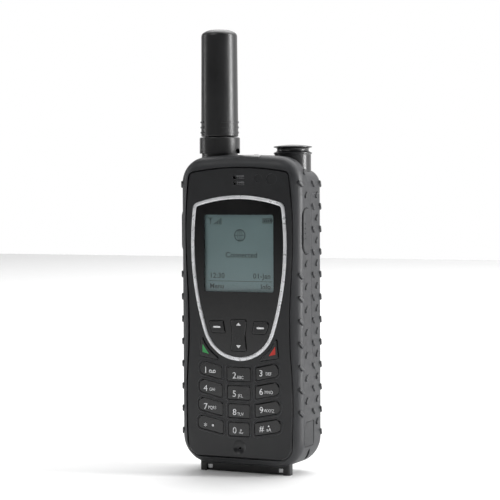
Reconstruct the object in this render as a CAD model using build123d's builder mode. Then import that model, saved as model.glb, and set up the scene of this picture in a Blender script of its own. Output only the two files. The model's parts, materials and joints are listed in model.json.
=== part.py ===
"""Rugged satellite phone standing upright on its bottom accessory connector.

X is to the right as seen from the keypad side, the keypad faces -Y, Z is up.
The origin is the centre of the footprint, on the plane the phone stands on.
"""
from build123d import *
import math
import os

os.makedirs("parts", exist_ok=True)

# ---------------------------------------------------------------- driving dimensions (mm)
body_width = 58.4
body_depth = 27.0
crest_height = 140.0
crest_radius = 220.0
crest_corner = 11.5
deck_height = 133.8
deck_radius = 2000.0
deck_corner = 6.8
underside_z = 3.6
edge_round = 5.5
bottom_corner = 12.5
wall = 1.9
crest_back_y = -4.8

fit_gap = 0.05
shell_gap = 0.15
key_gap = 0.2
groove = 0.35

# face plate
plate_recess = 0.3
plate_thickness = 1.3
plate_bottom = 7.2
plate_top = 134.5
plate_foot_half = 24.9
plate_low_half = 25.65
plate_low_z = 32.0
plate_waist_half = 24.4
plate_waist_z = 64.5
plate_high_half = 25.75
plate_high_z = 106.8
plate_shoulder_half = 23.9
plate_shoulder_z = 132.2
plate_foot_radius = 6.2
plate_shoulder_radius = 2.6
plate_bevel = 0.45
floor_thickness = 1.3

# shield-shaped bezel ring
ring_half = 23.1
ring_widest_z = 101.0
ring_side_radius = 125.0
ring_top_z = 122.3
ring_top_radius = 67.0
ring_point_radius = 17.8
ring_shoulder_radius = 3.0
ring_width = 1.6
ring_round = 0.45

# display
view_half = 16.8
view_bottom = 80.1
view_top = 113.8
view_corner = 0.8
glass_margin = 1.7
pane_thickness = 0.8
pane_recess = 0.3
panel_setback = 0.2

# number keys
row_pitch = 8.05
bottom_row_z = 19.85
key_height = 5.9
middle_key_height = 6.2
middle_half_top = 5.7
middle_half_step = 0.23
column_gap = 2.6
outer_half_top = 19.0
outer_half_step = 0.35
outer_rise = 2.8
inner_rise = 0.35
key_corner = 0.8
key_end_corner = 2.3
rim_width = 0.95
rim_height = 0.2
rim_taper = 30
key_edge = 0.45
key_travel = 0.6
key_depth = 2.7
plunger_radius = 1.2
plunger_length = 1.6
plunger_gap = 0.4

# keypad stack
mat_thickness = 0.8
mat_half = 20.3
mat_bottom = 14.2
mat_top = 69.4
dome_radius = 2.0
dome_height = 0.5
film_thickness = 0.15

# main board
board_front_y = -7.9
board_thickness = 1.2
board_half = 20.5
board_bottom = 12.4
board_top = 121.0
can_height = 2.2
can_wall = 0.25
can_corner = 0.8
shield_can_places = ((-9.5, 80.0, 18.0, 28.0), (0.0, 110.5, 34.0, 15.0), (0.0, 44.0, 32.0, 24.0))

# battery bay and the curved parting line on the sides
seam_y = -0.6
bay_top = 123.0
bay_top_gap = 0.05
bend_z = 58.0
boot_y = 4.6
boot_z = 41.0
bay_floor_z = 38.0
bend_radius = 16.0
boot_radius = 4.0
top_block_y = -6.3
top_block_z = 121.4

# rear cover under the battery
cover_front_y = -2.6
cover_thickness = 1.6
cover_bottom = 50.0
cover_corner = 3.0
screw_x = 23.0
screw_rows = (55.5, 87.0, 117.5)
boss_radius = 2.1
screw_radius = 0.9
head_radius = 1.7
head_height = 0.8
screw_length = 6.0
ledge_width = 2.0
ledge_thickness = 1.1
gasket_thickness = 0.4
gasket_inset = 0.3
screw_clearance = 0.15
screw_fit = 0.03
recess_depth = 0.5
recess_length = 1.9
recess_width = 0.45
window_gap = 0.5
cover_window_corner = 1.2

# battery contacts on the main board
contact_block_z = 98.5
contact_block_y = -1.4
contact_block_width = 14.0
contact_block_height = 4.4
contact_block_corner = 0.6
contact_row_pitch = 3.2
contact_row_count = 4
contact_pin_radius = 0.6
terminal_width = 2.2
terminal_height = 3.6
terminal_depth = 0.4

# battery
cell_half = 21.0
cell_bottom = 61.0
cell_top = 115.5
cell_front_y = 1.1
cell_thickness = 9.8
cell_round = 1.8
tray_thickness = 1.2
tray_half = 24.4
tray_bottom = 59.6
tray_top = 119.4

# antenna
antenna_x = -17.4
antenna_y = 4.4
pivot_z = 132.5
tilt_limit = 25.0
ball_radius = 7.4
socket_gap = 0.2
pin_radius = 1.5
running_gap = 0.06
flange_radius = 8.1
flange_z = 138.1
collar_radius = 9.05
collar_z = 140.9
collar_top = 148.2
stub_radius = 8.35
stub_tip_radius = 8.05
stub_z = 148.5
stub_shoulder = 193.0
stub_top = 196.2
stub_bore = 7.4
stub_bore_top = 193.4
mast_radius = 4.6
mast_bore = 3.2
mast_top = 192.8
piston_radius = 6.4
piston_height = 2.4
element_wall = 0.5
element_top = 190.0
stub_lip = 2.0
stub_crown = 1.5
stub_crown_drop = 1.0
stub_foot_round = 0.5
grip_rows = (150.3, 152.6, 154.9)
grip_width = 0.7
grip_height = 0.3
grip_break = 9.0
antenna_travel = 38.0

# navigation receiver stub
stub2_x = 18.4
stub2_radius = 8.0
stub2_lip_radius = 8.43
stub2_neck_radius = 7.0
stub2_base_z = 129.6
stub2_flange_z = 140.5
stub2_lip_z = 143.2
stub2_top = 144.4
stub2_wall = 1.4
stub2_edge = 0.4
stub2_flare = 0.3
stub2_neck_drop = 0.5
patch_height = 7.0

# emergency button and its lid
sos_left = 0.2
sos_right = 9.5
sos_front_y = -11.6
sos_hinge_y = 7.9
sos_hinge_z = 138.85
sos_hinge_radius = 0.7
sos_lid_z = 138.15
sos_back_y = 8.8
sos_button_radius = 3.2
sos_button_y = 0.0
sos_button_z = 134.6
sos_button_height = 2.6

# side keys
side_key_y = -5.8
side_key_z = 106.7
side_key_length = 20.0
side_key_width = 7.9
side_key_proud = 0.55
side_key_depth = 3.6
side_gap = 0.3
side_key_travel = 0.7
ridge_pitch = 2.1
ridge_length = 5.0
ridge_width = 0.55
ridge_height = 0.22

# headset port and its cover
port_front_y = -8.4
port_back_y = 1.6
port_bottom = 12.8
port_top = 23.6
port_corner = 2.4
port_cover_thickness = 1.3
port_gap = 0.22
port_pad = 0.75
jack_y = -3.4
jack_z = 18.2
jack_bore_radius = 1.25
jack_depth = 11.8
jack_size = 6.2
jack_nose_radius = 2.4
jack_nose = 1.7

# lanyard slot on the lower right corner
lanyard_y = 1.0
lanyard_angle = 39.0
lanyard_length = 8.0
lanyard_width = 1.9
lanyard_depth = 3.2
lanyard_slope = 127.0
lanyard_pad = 2.6
lanyard_bar_radius = 0.6

# grip studs
stud_length = 3.7
stud_width = 1.7
stud_height = 0.65
stud_round = 0.55
stud_pitch = 9.95
stud_tilt = 43.0
even_top = 127.2
odd_top = 132.3
stud_root = 1.0

# bottom connector
dock_half = 21.9
dock_depth = 16.4
dock_top = 7.0
dock_ear = 3.2
dock_ear_depth = 4.0
dock_core_half = 15.6
dock_lip = 0.6
dock_apron = 1.5
dock_corner = 1.2
dock_recess_half = 13.6
dock_recess_depth = 8.4
dock_recess_height = 2.2
contact_pitch = 2.3
contact_size = 1.4
contact_height = 0.5
contact_length = 2.2
contact_row_gap = 3.4
contact_columns = 11

# microphone behind its hole
microphone_z = 11.4
microphone_radius = 2.0
microphone_height = 1.2
microphone_hole = 0.6
dimple_z = 12.1
dimple_radius = 6.4
dimple_depth = 0.8

# loudspeaker behind the back wall
speaker_x = -11.0
speaker_z = 20.0
speaker_radius = 7.5
speaker_height = 4.5
speaker_slot_pitch = 2.2

# battery latch on the back
latch_half = 5.0
latch_height = 6.4
latch_thickness = 1.1
latch_travel = 3.0
latch_gap = 0.15

# ---------------------------------------------------------------- values worked out from them
body_half = body_width / 2
half_depth = body_depth / 2
plate_face_y = -half_depth + plate_recess
plate_back_y = plate_face_y + plate_thickness
floor_front_y = plate_back_y + fit_gap
floor_back_y = floor_front_y + floor_thickness
key_back_y = -half_depth + key_depth
mat_front_y = key_back_y + key_travel + 0.1
board_back_y = board_front_y + board_thickness
corner_x = body_half - bottom_corner
corner_z = underside_z + bottom_corner
cover_back_y = cover_front_y + cover_thickness
cover_top = top_block_z - 0.1
cover_half = body_half - wall - 0.1
inner_half = body_half - wall
ear_glass_z = 128.85
ear_x = 0.35
mast_seat_z = 137.0
jack_body = 11.0
lanyard_bar_depth = 1.7
switch_x = 25.2
sim_x = 10.5
sim_z = 74.0
sim_width = 15.0
sim_height = 25.0
sos_x = (sos_left + sos_right) / 2
pin_length = 2 * (ball_radius + socket_gap) + 2.2
latch_top = bay_floor_z - 0.6
port_hinge_x = body_half - port_cover_thickness / 2
port_hinge_y = port_back_y - port_cover_thickness / 2
reach = 100.0


# ---------------------------------------------------------------- planes
def at_y(y):
    """Plane at depth y whose sketch shows X to the right and Z up, facing the front."""
    return Plane.XZ.offset(-y)


def at_x(x):
    """Plane at x whose sketch shows Y to the right and Z up, facing +X."""
    return Plane.YZ.offset(x)


def at_z(z):
    """Level plane at height z."""
    return Plane.XY.offset(z)


# ---------------------------------------------------------------- outlines
def body_outline(inset, crest, radius, corner):
    """Front outline of the body: straight sides, arched top, large bottom corners."""
    half = body_half - inset
    arch = radius - inset
    shoulder = crest - radius + math.sqrt(arch ** 2 - half ** 2)
    with BuildSketch() as outline:
        with BuildLine():
            Polyline(
                (-half, shoulder),
                (-half, underside_z + inset),
                (half, underside_z + inset),
                (half, shoulder),
            )
            ThreePointArc((half, shoulder), (0, crest - inset), (-half, shoulder))
        make_face()
        fillet(outline.vertices().sort_by(Axis.Y)[:2], bottom_corner - inset)
        shoulders = outline.vertices().filter_by(lambda v: abs(v.Y - shoulder) < fit_gap)
        fillet(shoulders, corner - inset)
    return outline.sketch


def body_envelope(inset, crest, radius, corner):
    """The body as one rounded block, shrunk by inset on every side."""
    with BuildPart() as block:
        with BuildSketch(at_y(-half_depth + inset)):
            add(body_outline(inset, crest, radius, corner))
        extrude(amount=-(body_depth - 2 * inset))
        fillet(block.faces().filter_by(Axis.Y).edges(), edge_round - inset)
    return block.part


def plate_outline(grow):
    """Outline of the face plate: wide at the display and the keypad, waisted between."""
    low = (plate_low_half + grow, plate_low_z)
    waist = (plate_waist_half + grow, plate_waist_z)
    high = (plate_high_half + grow, plate_high_z)
    lower_mid = ((low[0] + waist[0]) / 2, (low[1] + waist[1]) / 2)
    upper_mid = ((high[0] + waist[0]) / 2, (high[1] + waist[1]) / 2)
    foot = (plate_foot_half + grow, plate_bottom - grow)
    shoulder = (plate_shoulder_half + grow, plate_shoulder_z + grow)
    with BuildSketch() as outline:
        with BuildLine():
            Line((-foot[0], foot[1]), foot)
            for side in (1, -1):
                TangentArc((side * low[0], low[1]), (side * foot[0], foot[1]), tangent=(0, -1))
                TangentArc((side * low[0], low[1]), (side * lower_mid[0], lower_mid[1]), tangent=(0, 1))
                TangentArc((side * waist[0], waist[1]), (side * lower_mid[0], lower_mid[1]), tangent=(0, -1))
                TangentArc((side * waist[0], waist[1]), (side * upper_mid[0], upper_mid[1]), tangent=(0, 1))
                TangentArc((side * high[0], high[1]), (side * upper_mid[0], upper_mid[1]), tangent=(0, -1))
                TangentArc((side * high[0], high[1]), (side * shoulder[0], shoulder[1]), tangent=(0, 1))
            ThreePointArc(shoulder, (0, plate_top + grow), (-shoulder[0], shoulder[1]))
        make_face()
        fillet(outline.vertices().sort_by(Axis.Y)[:2], plate_foot_radius + grow)
        shoulders = outline.vertices().filter_by(lambda v: abs(v.Y - shoulder[1]) < fit_gap)
        fillet(shoulders, plate_shoulder_radius + grow)
    return outline.sketch


def shield_outline(grow):
    """Outer outline of the bezel ring: two large side arcs, an arched top, a round point."""
    side_centre = ring_side_radius - ring_half
    side = ring_side_radius + grow
    arch = ring_top_radius + grow
    point = (0, ring_widest_z - math.sqrt(side ** 2 - side_centre ** 2))
    rise = ring_top_z - ring_top_radius - ring_widest_z
    span = math.hypot(side_centre, rise)
    along = (side ** 2 - arch ** 2 + span ** 2) / (2 * span)
    across = math.sqrt(side ** 2 - along ** 2)
    corner_x = (along * side_centre - across * rise) / span - side_centre
    corner_z = (along * rise + across * side_centre) / span + ring_widest_z
    with BuildSketch() as outline:
        with BuildLine():
            ThreePointArc(point, (ring_half + grow, ring_widest_z), (corner_x, corner_z))
            ThreePointArc((corner_x, corner_z), (0, ring_top_z + grow), (-corner_x, corner_z))
            ThreePointArc((-corner_x, corner_z), (-ring_half - grow, ring_widest_z), point)
        make_face()
        fillet(outline.vertices().sort_by(Axis.Y)[0], ring_point_radius + grow)
        fillet(outline.vertices().sort_by(Axis.Y)[-2:], ring_shoulder_radius + grow)
    return outline.sketch


def rounded_polygon(corners, radii, grow):
    """Polygon with its own radius at each corner, grown by a margin."""
    with BuildSketch() as outline:
        Polygon(*corners, align=None)
        for corner, radius in zip(corners, radii):
            tip = outline.vertices().sort_by_distance((corner[0], corner[1], 0))[0]
            fillet(tip, radius)
        if grow:
            offset(amount=grow)
    return outline.sketch


def number_key_outlines(grow):
    """The twelve number keys: outer keys slope up and out, the middle ones are level."""
    names = (("1", "2", "3"), ("4", "5", "6"), ("7", "8", "9"), ("star", "0", "hash"))
    outlines = {}
    for row, labels in enumerate(names):
        z = bottom_row_z + row_pitch * (3 - row)
        half = middle_half_top - middle_half_step * row
        inner = half + column_gap
        outer = outer_half_top + outer_half_step * row
        for side, label in ((-1, labels[0]), (1, labels[2])):
            corners = (
                (side * outer, z + outer_rise + key_height / 2),
                (side * inner, z + inner_rise + key_height / 2),
                (side * inner, z + inner_rise - key_height / 2),
                (side * outer, z + outer_rise - key_height / 2),
            )
            radii = (key_end_corner, key_corner, key_corner, key_end_corner)
            outlines["key_" + label] = rounded_polygon(corners, radii, grow)
        corners = (
            (-half, z + middle_key_height / 2),
            (half, z + middle_key_height / 2),
            (half, z - middle_key_height / 2),
            (-half, z - middle_key_height / 2),
        )
        outlines["key_" + labels[1]] = rounded_polygon(corners, (key_corner,) * 4, grow)
    return outlines


def call_key_outline(side, grow):
    """Three-cornered call key tucked under the bezel ring."""
    with BuildSketch() as outline:
        Polygon((side * 18.2, 61.4), (side * 9.3, 49.9), (side * 19.2, 51.6), align=None)
        add(shield_outline(1.5), mode=Mode.SUBTRACT)
        fillet(outline.vertices(), 0.5)
        if grow:
            offset(amount=grow)
    return outline.sketch


def soft_key_outline(side, grow):
    """Slanted key under each end of the display."""
    corners = ((side * 15.0, 67.3), (side * 7.4, 67.3), (side * 6.4, 62.0), (side * 13.0, 62.0))
    return rounded_polygon(corners, (1.3, 0.7, 0.7, 1.3), grow)


def scroll_key_outline(grow):
    """Waisted rocker between the soft keys."""
    corners = ((-3.9, 68.0), (3.9, 68.0), (3.1, 61.1), (3.9, 54.2), (-3.9, 54.2), (-3.1, 61.1))
    return rounded_polygon(corners, (0.9, 0.9, 4.0, 0.9, 0.9, 4.0), grow)


def key_outlines(grow):
    """Every key on the front, by name."""
    outlines = number_key_outlines(grow)
    outlines["call_key"] = call_key_outline(-1, grow)
    outlines["end_key"] = call_key_outline(1, grow)
    outlines["soft_key_left"] = soft_key_outline(-1, grow)
    outlines["soft_key_right"] = soft_key_outline(1, grow)
    outlines["scroll_key"] = scroll_key_outline(grow)
    return outlines


def side_slot(grow):
    """Upright rounded slot of a side key, drawn in Y and Z."""
    with BuildSketch() as outline:
        with Locations((side_key_y, side_key_z)):
            SlotOverall(side_key_length + 2 * grow, side_key_width + 2 * grow, rotation=90)
    return outline.sketch


def dock_outline(grow):
    """Footprint of the bottom connector: a wide front bar with its ears, and the block behind."""
    with BuildSketch() as outline:
        with Locations((0, (dock_ear_depth - dock_depth) / 2)):
            RectangleRounded(2 * (dock_half + grow), dock_ear_depth + 2 * grow, dock_corner)
        RectangleRounded(2 * (dock_core_half + grow), dock_depth + 2 * grow, dock_corner)
    return outline.sketch


def bay_outline(shrink):
    """Side outline of the battery bay in Y and Z, with the curved parting line in front."""
    front = seam_y + shrink
    top = bay_top - min(shrink, bay_top_gap)
    with BuildSketch() as outline:
        with BuildLine():
            Polyline(
                (front, top),
                (front, bend_z + shrink),
                (boot_y + shrink, boot_z + shrink),
                (half_depth + 2, bay_floor_z + shrink),
                (half_depth + 2, top),
                close=True,
            )
        make_face()
        bend = outline.vertices().sort_by_distance((front, bend_z + shrink, 0))[0]
        fillet(bend, bend_radius)
        foot = outline.vertices().sort_by_distance((boot_y + shrink, boot_z + shrink, 0))[0]
        fillet(foot, boot_radius)
    return outline.sketch


key_faces = key_outlines(0)
key_holes = key_outlines(key_gap)
tall_envelope = body_envelope(0, crest_height, crest_radius, crest_corner)
deck_envelope = body_envelope(0, deck_height, deck_radius, deck_corner)


# ---------------------------------------------------------------- body shape with grip studs
def stud_sites():
    """Column depth, top height, count and lean of the studs on one side."""
    columns = (
        (-10.5, even_top, 12, -1),
        (-5.8, odd_top, 12, 1),
        (1.6, even_top, 11, -1),
        (5.6, odd_top - stud_pitch, 11, 1),
        (9.6, even_top, 12, -1),
    )
    for y, top, count, lean in columns:
        for step in range(count):
            yield y, top - stud_pitch * step, lean


def blocked(y, z, side):
    """True where a side key, the port cover or the lanyard slot takes the stud's place."""
    margin = stud_length / 2 + 0.3
    if abs(z - side_key_z) < side_key_length / 2 + margin and y < side_key_y + side_key_width / 2:
        return True
    if side > 0:
        by_port = port_bottom - margin - 6 < z < port_top + margin - 1
        return by_port and port_front_y - margin < y < port_back_y + margin
    return False


def stud_locations(body):
    """Place of each stud on the body's skin, square to the surface there."""
    places = []
    for side in (-1, 1):
        for y, z, lean in stud_sites():
            if blocked(y, z, side):
                continue
            ray = Axis((side * reach, y, z), (-side, 0, 0))
            point, normal = body.find_intersection_points(ray)[0]
            along = Vector(0, math.cos(math.radians(stud_tilt)), lean * math.sin(math.radians(stud_tilt)))
            along = along - normal * along.dot(normal)
            places.append(Plane(origin=point, x_dir=along, z_dir=normal).location)
    return places


with BuildPart() as stud:
    with BuildSketch(Plane.XY.offset(-stud_root)):
        SlotOverall(stud_length, stud_width)
    extrude(amount=stud_root + stud_height)
    fillet(stud.faces().sort_by(Axis.Z)[-1].edges(), stud_round)

with BuildPart() as body_shape:
    add(tall_envelope)
    with BuildSketch(at_y(crest_back_y)):
        with Locations((0, crest_height)):
            Rectangle(2 * body_width, 40)
    extrude(amount=-body_depth, mode=Mode.SUBTRACT)
    add(deck_envelope)

stud_places = stud_locations(body_shape.part)
with BuildPart() as studded_body:
    add(body_shape.part)
    with Locations(stud_places):
        add(stud.part)



# ---------------------------------------------------------------- housing and covers
with BuildPart() as cavity:
    add(body_envelope(wall, crest_height, crest_radius, crest_corner))
    with BuildSketch(at_x(-body_half)):
        with BuildLine():
            Polyline(
                (floor_back_y, 0),
                (half_depth, 0),
                (half_depth, bay_floor_z - wall),
                (boot_y - 1.0, boot_z - wall),
                (seam_y, bend_z - 6.0),
                (seam_y, top_block_z),
                (top_block_y, top_block_z),
                (top_block_y, crest_height),
                (floor_back_y, crest_height),
                close=True,
            )
        make_face()
    extrude(amount=body_width, mode=Mode.INTERSECT)

with BuildPart() as bay_space:
    with BuildSketch(at_x(-body_half - stud_height - 1)):
        add(bay_outline(0))
    extrude(amount=body_width + 2 * stud_height + 2)

with BuildPart() as swivel_space:
    with BuildSketch(at_y(antenna_y - ball_radius - socket_gap)):
        with Locations((antenna_x, pivot_z)):
            Circle(ball_radius + socket_gap)
        for tilt in (-tilt_limit, 0, tilt_limit):
            with Locations(Location((antenna_x, pivot_z, 0), (0, 0, tilt))):
                Rectangle(2 * (ball_radius + socket_gap), 20, align=(Align.CENTER, Align.MIN))
    extrude(amount=-2 * (ball_radius + socket_gap))



def port_cover_shape(grow):
    """Thin cover with a rounded hinge edge at its back, as one block grown by a gap."""
    half_thickness = port_cover_thickness / 2
    with BuildPart() as block:
        with BuildSketch(at_z(port_bottom - grow)):
            with Locations((port_hinge_x, port_hinge_y)):
                Circle(half_thickness + grow)
                Rectangle(
                    port_cover_thickness + 2 * grow,
                    port_hinge_y - port_front_y + grow,
                    align=(Align.CENTER, Align.MAX),
                )
        extrude(amount=port_top - port_bottom + 2 * grow)
        front_edges = block.edges().filter_by(Axis.X).sort_by(Axis.Y)[:2]
        fillet(front_edges, port_corner + grow)
    return block.part


with BuildPart() as port_cover:
    add(port_cover_shape(0))
    add(tall_envelope, mode=Mode.INTERSECT)

lanyard_radians = math.radians(lanyard_angle)
lanyard_out = Vector(math.cos(lanyard_radians), 0, -math.sin(lanyard_radians))
lanyard_mouth = Vector(corner_x, lanyard_y, corner_z) + lanyard_out * bottom_corner
lanyard_up = Vector(math.sin(lanyard_radians), 0, math.cos(lanyard_radians))
slot_radians = math.radians(lanyard_slope)
bar_along = Vector(0, 1, 0) * math.sin(slot_radians) - lanyard_up * math.cos(slot_radians)
lanyard_plane = Plane(origin=lanyard_mouth, x_dir=(0, 1, 0), z_dir=lanyard_out)

with BuildPart() as lanyard_pad_block:
    add(body_envelope(wall, crest_height, crest_radius, crest_corner))
    add(body_envelope(wall + lanyard_pad, crest_height, crest_radius, crest_corner), mode=Mode.SUBTRACT)
    with BuildSketch(lanyard_plane.offset(-reach / 2)):
        Rectangle(lanyard_length + 1, lanyard_length + 2)
    extrude(amount=reach, mode=Mode.INTERSECT)

with BuildPart() as sos_island:
    add(tall_envelope)
    with BuildSketch(at_z(deck_height - 1)):
        with Locations(((sos_left + sos_right) / 2, (crest_back_y + sos_back_y) / 2)):
            RectangleRounded(sos_right - sos_left + 0.4, sos_back_y - crest_back_y + 1, 0.45)
    extrude(amount=sos_lid_z - deck_height + 1 - shell_gap, mode=Mode.INTERSECT)

with BuildPart() as sos_lid_space:
    with BuildSketch(at_z(sos_lid_z - shell_gap)):
        with Locations(((sos_left + sos_right) / 2, sos_front_y - key_gap)):
            Rectangle(
                sos_right - sos_left + 2 * key_gap,
                reach,
                align=(Align.CENTER, Align.MIN),
            )
    extrude(amount=reach)

with BuildPart() as sos_lid:
    with BuildSketch(at_x(sos_left)):
        with Locations((sos_hinge_y, sos_hinge_z)):
            Circle(sos_hinge_radius)
            Rectangle(
                sos_hinge_y - sos_front_y,
                2 * sos_hinge_radius,
                align=(Align.MAX, Align.CENTER),
            )
            Rectangle(sos_hinge_y - sos_front_y, 5, align=(Align.MAX, Align.MIN))
    extrude(amount=sos_right - sos_left)
    add(tall_envelope, mode=Mode.INTERSECT)

with BuildPart() as sos_button:
    with BuildSketch(at_z(sos_button_z)):
        with Locations((sos_x, sos_button_y)):
            Circle(sos_button_radius)
    extrude(amount=sos_button_height)
    fillet(sos_button.faces().sort_by(Axis.Z)[-1].edges(), 0.5)

with BuildPart() as front_housing:
    add(studded_body.part)
    add(cavity.part, mode=Mode.SUBTRACT)
    add(bay_space.part, mode=Mode.SUBTRACT)
    # inner pads: ledge for the rear cover, screw bosses, headset port wall, lanyard pad
    with BuildSketch(at_y(cover_front_y - gasket_thickness - fit_gap)):
        with Locations((0, (cover_bottom + top_block_z) / 2)):
            Rectangle(2 * inner_half, top_block_z - cover_bottom)
            Rectangle(
                2 * (inner_half - ledge_width),
                top_block_z - cover_bottom - 2 * ledge_width,
                mode=Mode.SUBTRACT,
            )
    extrude(amount=ledge_thickness)
    with BuildSketch(at_y(cover_front_y - fit_gap)):
        for z in screw_rows:
            with Locations((screw_x, z), (-screw_x, z)):
                Circle(boss_radius)
    extrude(amount=cover_front_y - floor_back_y)
    with BuildSketch(at_y(cover_front_y - fit_gap)):
        for z in screw_rows:
            with Locations((screw_x, z), (-screw_x, z)):
                Circle(screw_radius)
    extrude(amount=screw_length, mode=Mode.SUBTRACT)
    with BuildSketch(at_x(inner_half - jack_nose)):
        with Locations(((floor_back_y + port_back_y + port_pad) / 2, jack_z)):
            Rectangle(port_back_y + port_pad - floor_back_y, port_top - port_bottom + 2 * port_pad)
    extrude(amount=jack_nose)
    add(lanyard_pad_block.part)
    with BuildSketch(at_x(inner_half - jack_nose - jack_body - shell_gap)):
        with Locations((jack_y, jack_z)):
            Rectangle(jack_size + 2 * shell_gap, jack_size + 2 * shell_gap)
    extrude(amount=jack_body + shell_gap, mode=Mode.SUBTRACT)
    # face plate pocket and openings in the floor behind it
    with BuildSketch(at_y(floor_front_y)):
        add(plate_outline(groove))
    extrude(amount=reach, mode=Mode.SUBTRACT)
    with BuildSketch(at_y(floor_front_y)):
        for hole in key_holes.values():
            add(hole)
        with Locations((0, (view_bottom + view_top) / 2)):
            Rectangle(2 * (view_half + glass_margin) + 0.6, view_top - view_bottom + 2 * glass_margin + 0.6)
        with Locations((ear_x, ear_glass_z)):
            Rectangle(9, 6)
        with Locations((0, microphone_z)):
            Circle(microphone_hole)
    extrude(amount=-floor_thickness - 0.5, mode=Mode.SUBTRACT)
    add(port_cover_shape(port_gap), mode=Mode.SUBTRACT)
    # relief behind the hinge edge, where the outer corner of the cover swings
    with BuildSketch(at_z(port_bottom - port_gap)):
        with Locations((port_hinge_x, port_hinge_y)):
            Rectangle(
                port_cover_thickness,
                port_cover_thickness / 2 + port_gap,
                align=(Align.MIN, Align.MIN),
            )
    extrude(amount=port_top - port_bottom + 2 * port_gap, mode=Mode.SUBTRACT)
    with BuildSketch(Plane(origin=lanyard_mouth - lanyard_out * lanyard_bar_depth, x_dir=lanyard_out, z_dir=bar_along)):
        Circle(lanyard_bar_radius + 0.02)
    extrude(amount=lanyard_width / 2 + 0.85, both=True, mode=Mode.SUBTRACT)
    # antenna socket, receiver stub seat, emergency button island
    add(swivel_space.part, mode=Mode.SUBTRACT)
    with BuildSketch(at_z(stub2_base_z - fit_gap)):
        with Locations((stub2_x, antenna_y)):
            Circle(stub2_radius + fit_gap)
    extrude(amount=reach, mode=Mode.SUBTRACT)

    add(sos_island.part)
    add(sos_lid_space.part, mode=Mode.SUBTRACT)
    with BuildSketch(at_z(deck_height)):
        with Locations((sos_x, sos_button_y)):
            Circle(sos_button_radius + key_gap)
    extrude(amount=reach, mode=Mode.SUBTRACT)
    # side keys, headset jack nose, lanyard slot, pin hole of the antenna
    for side in (-1, 1):
        with BuildSketch(at_x(side * inner_half - side * 3)):
            add(side_slot(side_gap))
        extrude(amount=side * reach, mode=Mode.SUBTRACT)
    with BuildSketch(at_x(inner_half - reach / 4)):
        with Locations((jack_y, jack_z)):
            Circle(jack_nose_radius + fit_gap)
    extrude(amount=reach, mode=Mode.SUBTRACT)
    with BuildSketch(lanyard_plane.offset(-lanyard_depth)):
        SlotOverall(lanyard_length, lanyard_width, rotation=lanyard_slope)
    extrude(amount=reach, mode=Mode.SUBTRACT)
    with BuildSketch(at_y(antenna_y + pin_length / 2)):
        with Locations((antenna_x, pivot_z)):
            Circle(pin_radius)
    extrude(amount=pin_length, mode=Mode.SUBTRACT)
    # openings at the bottom and the back
    with BuildSketch(at_z(-1)):
        add(dock_outline(fit_gap))
    extrude(amount=dock_top + 1 + fit_gap, mode=Mode.SUBTRACT)
    with BuildSketch(at_y(half_depth - latch_thickness - latch_gap)):
        with Locations((0, latch_top)):
            Rectangle(
                2 * (latch_half + latch_gap),
                latch_height + latch_travel + 2 * latch_gap,
                align=(Align.CENTER, Align.MAX),
            )
    extrude(amount=-reach, mode=Mode.SUBTRACT)
    with BuildSketch(at_y(half_depth)):
        with Locations((speaker_x, speaker_z)):
            with GridLocations(0, speaker_slot_pitch, 1, 5):
                SlotOverall(9.0, 1.1)
    extrude(amount=wall + 0.5, mode=Mode.SUBTRACT)

with BuildPart() as side_key:
    with BuildSketch(at_x(body_half + side_key_proud - side_key_depth)):
        add(side_slot(0))
    extrude(amount=side_key_depth)
    fillet(side_key.faces().sort_by(Axis.X)[-1].edges(), 0.7)
    with BuildSketch(at_x(body_half + side_key_proud - 0.2)):
        with Locations((side_key_y, side_key_z)):
            with GridLocations(0, ridge_pitch, 1, 4):
                SlotOverall(ridge_length, ridge_width)
    extrude(amount=ridge_height + 0.2)

with BuildPart() as volume_key:
    add(mirror(side_key.part, about=Plane.YZ, mode=Mode.PRIVATE))

with BuildPart() as face_plate:
    with BuildSketch(at_y(plate_face_y)):
        add(plate_outline(0))
    extrude(amount=-plate_thickness)
    chamfer(face_plate.faces().sort_by(Axis.Y)[0].edges(), plate_bevel)
    for name, outline in number_key_outlines(rim_width).items():
        with BuildSketch(at_y(plate_face_y)):
            add(outline)
        extrude(amount=rim_height, taper=rim_taper)
    with BuildSketch(at_y(plate_face_y - 1)):
        add(shield_outline(fit_gap))
        for hole in key_holes.values():
            add(hole)
        for z in (130.15, 127.5):
            with Locations((ear_x, z)):
                SlotOverall(5.5, 1.7)
        with Locations((0, microphone_z)):
            Circle(microphone_hole)
    extrude(amount=-reach, mode=Mode.SUBTRACT)
    with BuildSketch(at_y(plate_face_y + 0.3)):
        with Locations((9.7, 129.5)):
            Circle(1.9)
        with Locations((16.0, 129.3)):
            Circle(2.4)
    extrude(amount=1, mode=Mode.SUBTRACT)
    with Locations((0, plate_face_y - dimple_radius + dimple_depth, dimple_z)):
        Sphere(dimple_radius, mode=Mode.SUBTRACT)

with BuildPart() as bezel_ring:
    with BuildSketch(at_y(-half_depth)):
        add(shield_outline(0))
        add(shield_outline(-ring_width), mode=Mode.SUBTRACT)
    extrude(amount=-(plate_back_y + half_depth))
    fillet(bezel_ring.faces().sort_by(Axis.Y)[0].edges(), ring_round)

with BuildPart() as window_panel:
    with BuildSketch(at_y(plate_face_y)):
        add(shield_outline(-ring_width - fit_gap))
    extrude(amount=-plate_thickness)
    with BuildSketch(at_y(plate_face_y)):
        for name in ("soft_key_left", "soft_key_right", "scroll_key"):
            add(key_holes[name])
        with Locations((0, (view_bottom + view_top) / 2)):
            RectangleRounded(2 * view_half, view_top - view_bottom, view_corner)
    extrude(amount=-plate_thickness, mode=Mode.SUBTRACT)

with BuildPart() as display_window:
    with BuildSketch(at_y(plate_face_y + pane_recess)):
        with Locations((0, (view_bottom + view_top) / 2)):
            RectangleRounded(
                2 * (view_half - fit_gap), view_top - view_bottom - 2 * fit_gap, view_corner
            )
    extrude(amount=-pane_thickness)

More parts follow.
